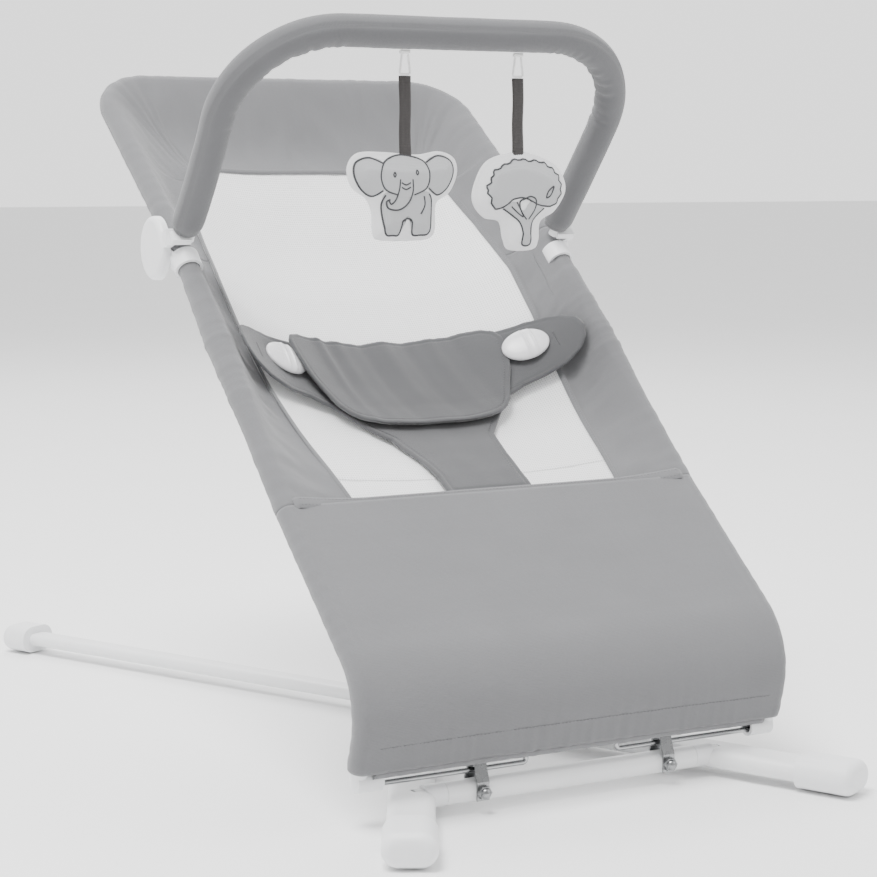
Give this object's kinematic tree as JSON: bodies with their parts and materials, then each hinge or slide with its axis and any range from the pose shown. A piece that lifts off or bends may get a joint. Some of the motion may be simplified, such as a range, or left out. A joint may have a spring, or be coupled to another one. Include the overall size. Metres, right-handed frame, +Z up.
{
  "type": "bouncer seat",
  "caption": "Portable baby bouncer seat with a grey fabric sling and mesh back on a sprung tube frame, a waist harness and a padded toy bar carrying hanging soft toys.",
  "frame": {"origin": "on the floor, at the centre of the footprint, midway between the front and rear feet", "axes": "+Z up, +Y towards the head end, +X towards the right as seen from the foot end"},
  "size_m": [0.5166, 0.8724, 0.6389],
  "materials": {
    "white_steel": "satin white powder coat",
    "white_plastic": "fine matte moulded finish",
    "button_plastic": "smooth off-white toggle",
    "chrome": "bright drawn spring wire",
    "steel": "zinc plated fasteners",
    "grey_fabric": "light grey woven polyester",
    "mesh_fabric": "white open knitted mesh",
    "harness_fabric": "darker grey padded fabric",
    "foam_sleeve": "grey fabric sleeve over foam",
    "webbing": "dark grey ribbed webbing",
    "toy_fabric": "light grey plush print with white border",
    "cord": "thin white cord",
    "rubber": "soft grey rubber"
  },
  "bodies": {
    "base": {"front_arm_left": "white_steel", "front_arm_right": "white_steel", "rear_arm_left": "white_steel", "rear_arm_right": "white_steel", "arm_plug_left": "white_plastic", "arm_plug_right": "white_plastic", "cross_bolt": "steel", "cross_nut": "steel", "foot_pads": "rubber", "arm_rivets": "steel", "foot_cap_front_left": "white_plastic", "foot_cap_front_right": "white_plastic", "foot_cap_rear_left": "white_plastic", "foot_cap_rear_right": "white_plastic", "pivot_bush_left": "white_plastic", "pivot_bush_right": "white_plastic"},
    "carrier": {"crossbar": "white_steel", "lock_plug_left": "white_plastic", "lock_plug_right": "white_plastic", "spring_wire_left": "chrome", "spring_wire_right": "chrome", "wire_clamp_left": "steel", "wire_clamp_right": "steel", "clamp_bolts": "steel", "clamp_nuts": "steel"},
    "seat": {"side_tube_left": "white_steel", "side_tube_right": "white_steel", "head_tube": "white_steel", "tube_joiners": "steel", "hem_tube": "white_steel", "spring_socket_left": "white_plastic", "spring_socket_right": "white_plastic", "mesh_panel": "mesh_fabric", "mesh_panel_upper": "mesh_fabric", "side_panel_left": "grey_fabric", "side_panel_right": "grey_fabric", "side_panel_upper_left": "grey_fabric", "side_panel_upper_right": "grey_fabric", "head_panel": "grey_fabric", "head_panel_top": "grey_fabric", "leg_panel": "grey_fabric", "harness_crotch": "harness_fabric", "harness_flap": "harness_fabric", "harness_wing_left": "harness_fabric", "harness_wing_right": "harness_fabric", "harness_button_left": "button_plastic", "harness_button_right": "button_plastic", "bar_clip_left": "white_plastic", "bar_clip_right": "white_plastic"},
    "toy_bar": {"bar_sleeve": "foam_sleeve", "bar_core": "white_plastic", "bar_hub_left": "white_plastic", "bar_hub_right": "white_plastic"},
    "left_loop": {"toy_loop_left": "cord"},
    "right_loop": {"toy_loop_right": "cord"},
    "left_toy": {"toy_strap_left": "webbing", "toy_left": "toy_fabric"},
    "right_toy": {"toy_strap_right": "webbing", "toy_right": "toy_fabric"}
  },
  "joints": [
    {"name": "recline_fold", "type": "hinge", "parent": "base", "child": "carrier", "pos_m": [0, -0.315, 0.0175], "axis": [1, 0, 0], "range_deg": [-32, 0]},
    {"name": "seat_bounce", "type": "hinge", "parent": "carrier", "child": "seat", "pos_m": [0, -0.315, 0.037], "axis": [1, 0, 0], "range_deg": [-8, 2], "stiffness_Nm_per_rad": 120, "springref_deg": 2.58},
    {"name": "toy_bar_swing", "type": "hinge", "parent": "seat", "child": "toy_bar", "pos_m": [0, 0.073, 0.437], "axis": [1, 0, 0], "range_deg": [-35, 0]},
    {"name": "left_loop_swing", "type": "hinge", "parent": "toy_bar", "child": "left_loop", "pos_m": [-0.044, -0.10428, 0.60787], "axis": [1, 0, 0], "range_deg": [-40, 40]},
    {"name": "right_loop_swing", "type": "hinge", "parent": "toy_bar", "child": "right_loop", "pos_m": [0.068, -0.10428, 0.60787], "axis": [1, 0, 0], "range_deg": [-40, 40]},
    {"name": "left_toy_sway", "type": "hinge", "parent": "left_loop", "child": "left_toy", "pos_m": [-0.044, -0.10428, 0.58887], "axis": [0, 1, 0], "range_deg": [-3.5, 3.5]},
    {"name": "right_toy_sway", "type": "hinge", "parent": "right_loop", "child": "right_toy", "pos_m": [0.068, -0.10428, 0.58887], "axis": [0, 1, 0], "range_deg": [-3.5, 3.5]}
  ]
}
